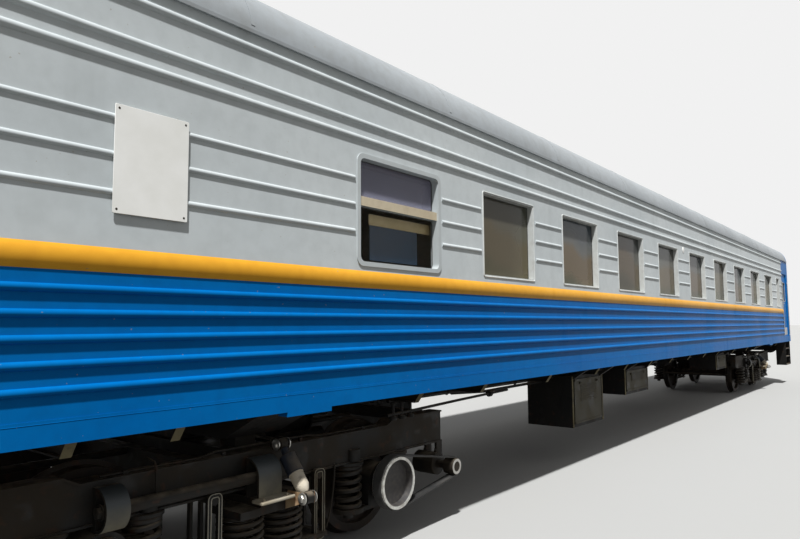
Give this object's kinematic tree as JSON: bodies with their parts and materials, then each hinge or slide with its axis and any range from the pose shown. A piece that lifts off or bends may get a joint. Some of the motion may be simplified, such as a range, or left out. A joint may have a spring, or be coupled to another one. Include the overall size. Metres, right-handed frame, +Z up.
{
  "type": "passenger coach",
  "caption": "Open-plan sleeping coach with ribbed steel sides, arched roof, vestibule doors and gangways, on two four-wheel coil-sprung bogies.",
  "frame": {"origin": "on the floor under the middle of the coach, at the height of the wheel flange tips", "axes": "+X along the coach to its front end, +Y to its left side, where the aisle is, +Z up"},
  "size_m": [24.537, 3.105, 4.491],
  "materials": {
    "blue_paint": "semi-gloss blue coach enamel",
    "grey_paint": "semi-gloss light grey coach enamel",
    "amber_paint": "semi-gloss amber enamel",
    "roof_paint": "weathered pale grey roof paint",
    "frame_paint": "light grey enamel",
    "chassis_paint": "dusty black underframe paint",
    "bogie_paint": "dusty grey-brown running gear paint",
    "spring_steel": "dirty black spring steel",
    "wheel_steel": "rolled steel, bright tread, brown web",
    "pulley_iron": "turned iron rim, dark dish",
    "coupler_iron": "rusted cast steel",
    "buffer_steel": "black paint, greased heads",
    "belt_rubber": "matt black belt",
    "gaiter_rubber": "matt black rubber",
    "window_glass": "dark tinted glass",
    "floor_lining": "brown sheet flooring",
    "cabin_panel": "beige laminate panel",
    "berth_vinyl": "red-brown padded vinyl",
    "table_laminate": "beige laminate"
  },
  "bodies": {
    "coach_body": {"underframe": "chassis_paint", "end_frames": "chassis_paint", "floor": "floor_lining", "side_panel_left": "blue_paint", "side_panel_right": "blue_paint", "side_wall_left": "grey_paint", "side_wall_right": "grey_paint", "belt_rails": "amber_paint", "roof": "roof_paint", "roof_vents": "roof_paint", "end_shell_front": "blue_paint", "end_shell_rear": "blue_paint", "window_frames": "frame_paint", "window_panes": "window_glass", "bulkheads": "cabin_panel", "partitions": "cabin_panel", "berths": "berth_vinyl", "tables": "table_laminate", "buffers": "buffer_steel", "couplers": "coupler_iron", "gangway_bellows": "gaiter_rubber", "entry_steps": "chassis_paint", "underfloor_boxes": "chassis_paint", "air_tanks": "chassis_paint", "generator": "chassis_paint"},
    "bogie_1": {"bogie_frame_1": "bogie_paint", "bogie_bolster_1": "bogie_paint", "bogie_springs_1": "spring_steel", "bogie_axleboxes_1": "bogie_paint", "bogie_swing_gear_1": "bogie_paint", "bogie_rods_1": "bogie_paint", "bogie_brakes_1": "bogie_paint", "drive_gearbox": "bogie_paint", "drive_belts": "belt_rubber"},
    "bogie_2": {"bogie_frame_2": "bogie_paint", "bogie_bolster_2": "bogie_paint", "bogie_springs_2": "spring_steel", "bogie_axleboxes_2": "bogie_paint", "bogie_swing_gear_2": "bogie_paint", "bogie_rods_2": "bogie_paint", "bogie_brakes_2": "bogie_paint"},
    "wheelset_1": {"wheelset_1": "wheel_steel"},
    "wheelset_2": {"wheelset_2": "wheel_steel", "drive_pulley": "pulley_iron"},
    "wheelset_3": {"wheelset_3": "wheel_steel"},
    "wheelset_4": {"wheelset_4": "wheel_steel"},
    "door_front_left": {"door_front_left": "blue_paint", "door_pane_front_left": "window_glass"},
    "door_rear_left": {"door_rear_left": "blue_paint", "door_pane_rear_left": "window_glass"},
    "door_front_right": {"door_front_right": "blue_paint", "door_pane_front_right": "window_glass"},
    "door_rear_right": {"door_rear_right": "blue_paint", "door_pane_rear_right": "window_glass"},
    "end_door_front": {"end_door_front": "blue_paint", "end_door_pane_front": "window_glass"},
    "end_door_rear": {"end_door_rear": "blue_paint", "end_door_pane_rear": "window_glass"}
  },
  "joints": [
    {"name": "bogie_1_swivel", "type": "hinge", "parent": "coach_body", "child": "bogie_1", "pos_m": [-8.5, 0, 1], "axis": [0, 0, 1], "range_deg": [-4, 4]},
    {"name": "bogie_2_swivel", "type": "hinge", "parent": "coach_body", "child": "bogie_2", "pos_m": [8.5, 0, 1], "axis": [0, 0, -1], "range_deg": [-4, 4]},
    {"name": "wheelset_1_spin", "type": "hinge", "parent": "bogie_1", "child": "wheelset_1", "pos_m": [-9.7, 0, 0.503], "axis": [0, 1, 0], "continuous": true},
    {"name": "wheelset_2_spin", "type": "hinge", "parent": "bogie_1", "child": "wheelset_2", "pos_m": [-7.3, 0, 0.503], "axis": [0, 1, 0], "continuous": true},
    {"name": "wheelset_3_spin", "type": "hinge", "parent": "bogie_2", "child": "wheelset_3", "pos_m": [7.3, 0, 0.503], "axis": [0, 1, 0], "continuous": true},
    {"name": "wheelset_4_spin", "type": "hinge", "parent": "bogie_2", "child": "wheelset_4", "pos_m": [9.7, 0, 0.503], "axis": [0, 1, 0], "continuous": true},
    {"name": "door_front_left_hinge", "type": "hinge", "parent": "coach_body", "child": "door_front_left", "pos_m": [11.572, 1.4625, 2.363], "axis": [0, 0, 1], "range_deg": [0, 90]},
    {"name": "door_rear_left_hinge", "type": "hinge", "parent": "coach_body", "child": "door_rear_left", "pos_m": [-11.572, 1.4625, 2.363], "axis": [0, 0, -1], "range_deg": [0, 90]},
    {"name": "door_front_right_hinge", "type": "hinge", "parent": "coach_body", "child": "door_front_right", "pos_m": [11.572, -1.4625, 2.363], "axis": [0, 0, -1], "range_deg": [0, 90]},
    {"name": "door_rear_right_hinge", "type": "hinge", "parent": "coach_body", "child": "door_rear_right", "pos_m": [-11.572, -1.4625, 2.363], "axis": [0, 0, 1], "range_deg": [0, 90]},
    {"name": "end_door_front_hinge", "type": "hinge", "parent": "coach_body", "child": "end_door_front", "pos_m": [11.73, -0.392, 2.363], "axis": [0, 0, 1], "range_deg": [0, 90]},
    {"name": "end_door_rear_hinge", "type": "hinge", "parent": "coach_body", "child": "end_door_rear", "pos_m": [-11.73, 0.392, 2.363], "axis": [0, 0, 1], "range_deg": [0, 90]}
  ]
}
